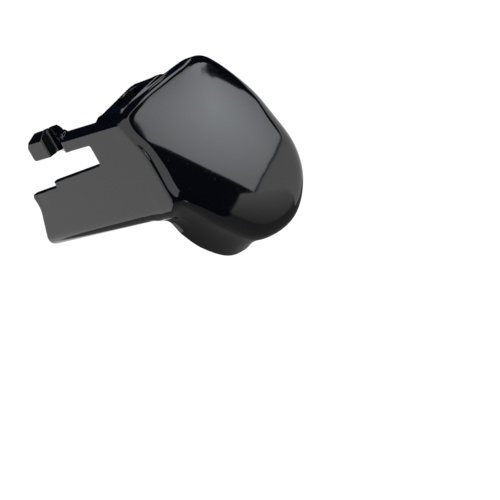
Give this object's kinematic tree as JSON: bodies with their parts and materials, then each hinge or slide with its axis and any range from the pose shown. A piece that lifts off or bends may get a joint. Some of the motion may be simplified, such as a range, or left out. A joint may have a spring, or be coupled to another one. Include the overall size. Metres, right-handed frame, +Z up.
{
  "type": "shift lever cover plate",
  "caption": "Gloss black moulded cover for the head of a bicycle shift lever: a bulging front cap with a slotted side arm, a hook and a lug with a screw hole.",
  "frame": {"origin": "on the flat top of the lug, beside the screw hole towards the inner side", "axes": "+X the way the cap faces, -Y the outer side with the arm's outer face, +Z up, out of the lug's top; the arm runs back along -X"},
  "size_m": [0.064, 0.0319, 0.0476],
  "materials": {
    "gloss_black": "smooth moulded gloss, nearly mirror-like on the cap"
  },
  "bodies": {
    "root": {"cover_plate": "gloss_black"}
  },
  "joints": []
}
